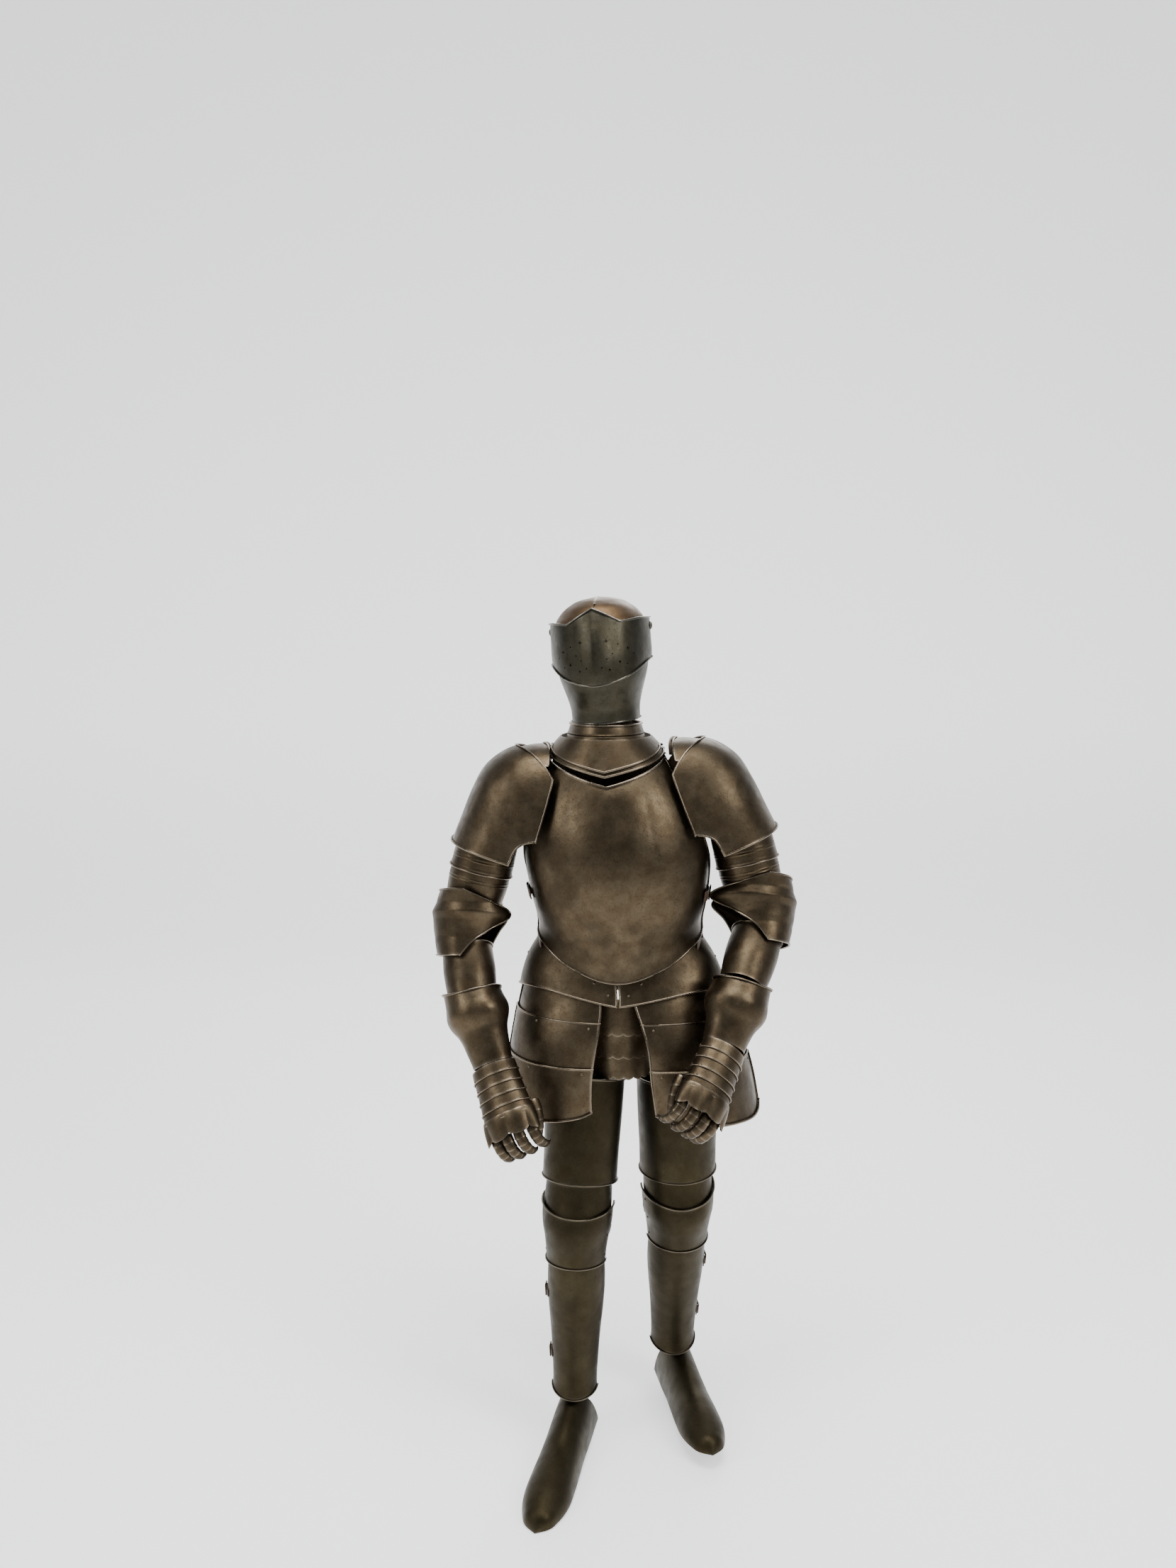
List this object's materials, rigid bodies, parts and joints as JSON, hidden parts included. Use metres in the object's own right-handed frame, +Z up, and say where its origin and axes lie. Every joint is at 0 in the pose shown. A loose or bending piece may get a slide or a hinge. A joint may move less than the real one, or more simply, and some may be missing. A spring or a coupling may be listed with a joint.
{
  "type": "suit of plate armour",
  "caption": "Full suit of etched plate armour, worn pose and empty inside: closed helmet, cuirass with skirt and thigh plates, arm and leg harness, gauntlets and plate shoes.",
  "frame": {"origin": "between the shoulders, inside the neck opening, 1440 mm above the floor under the lower sole", "axes": "+Z up, +X towards the wearer's left, -Y the way the wearer faces"},
  "size_m": [0.7809, 0.5268, 1.8016],
  "materials": {
    "body_steel": "brown patina over etched scrollwork, burnished edges",
    "helmet_steel": "smooth brown patina, greenish grey on the visor",
    "leg_steel": "dark olive brown patina, finely etched"
  },
  "bodies": {
    "suit": {"skull": "helmet_steel", "breastplate": "body_steel", "backplate": "body_steel", "gorget_collar": "body_steel", "gorget_upper": "body_steel", "gorget_lower": "body_steel", "culet": "body_steel", "fauld_right": "body_steel", "tasset_upper_right": "body_steel", "tasset_middle_right": "body_steel", "tasset_lower_right": "body_steel", "fauld_left": "body_steel", "tasset_upper_left": "body_steel", "tasset_middle_left": "body_steel", "tasset_lower_left": "body_steel", "brayette_1": "body_steel", "brayette_2": "body_steel", "brayette_3": "body_steel", "pauldron_right": "body_steel", "pauldron_lame_right": "body_steel", "rerebrace_upper_right": "body_steel", "rerebrace_lower_right": "body_steel", "couter_right": "body_steel", "vambrace_right": "body_steel", "gauntlet_cuff_right": "body_steel", "hand_plate_right": "body_steel", "knuckle_plate_right": "body_steel", "finger_1_right": "body_steel", "finger_2_right": "body_steel", "finger_3_right": "body_steel", "finger_4_right": "body_steel", "thumb_right": "body_steel", "cuisse_right": "leg_steel", "poleyn_lame_right": "leg_steel", "poleyn_right": "leg_steel", "greave_front_right": "leg_steel", "greave_back_right": "leg_steel", "sabaton_right": "leg_steel", "pauldron_left": "body_steel", "pauldron_lame_left": "body_steel", "rerebrace_upper_left": "body_steel", "rerebrace_lower_left": "body_steel", "couter_left": "body_steel", "vambrace_left": "body_steel", "gauntlet_cuff_left": "body_steel", "hand_plate_left": "body_steel", "knuckle_plate_left": "body_steel", "finger_1_left": "body_steel", "finger_2_left": "body_steel", "finger_3_left": "body_steel", "finger_4_left": "body_steel", "thumb_left": "body_steel", "cuisse_left": "leg_steel", "poleyn_lame_left": "leg_steel", "poleyn_left": "leg_steel", "greave_front_left": "leg_steel", "greave_back_left": "leg_steel", "sabaton_left": "leg_steel"},
    "bevor": {"bevor": "helmet_steel"},
    "visor": {"visor": "helmet_steel"}
  },
  "joints": [
    {"name": "bevor_lift", "type": "hinge", "parent": "suit", "child": "bevor", "pos_m": [-0.019, 0, 0.305], "axis": [-0.9879, 0.1388, -0.0698], "range_deg": [0, 50]},
    {"name": "visor_lift", "type": "hinge", "parent": "bevor", "child": "visor", "pos_m": [-0.019, 0, 0.305], "axis": [-0.9879, 0.1388, -0.0698], "range_deg": [0, 60]}
  ]
}
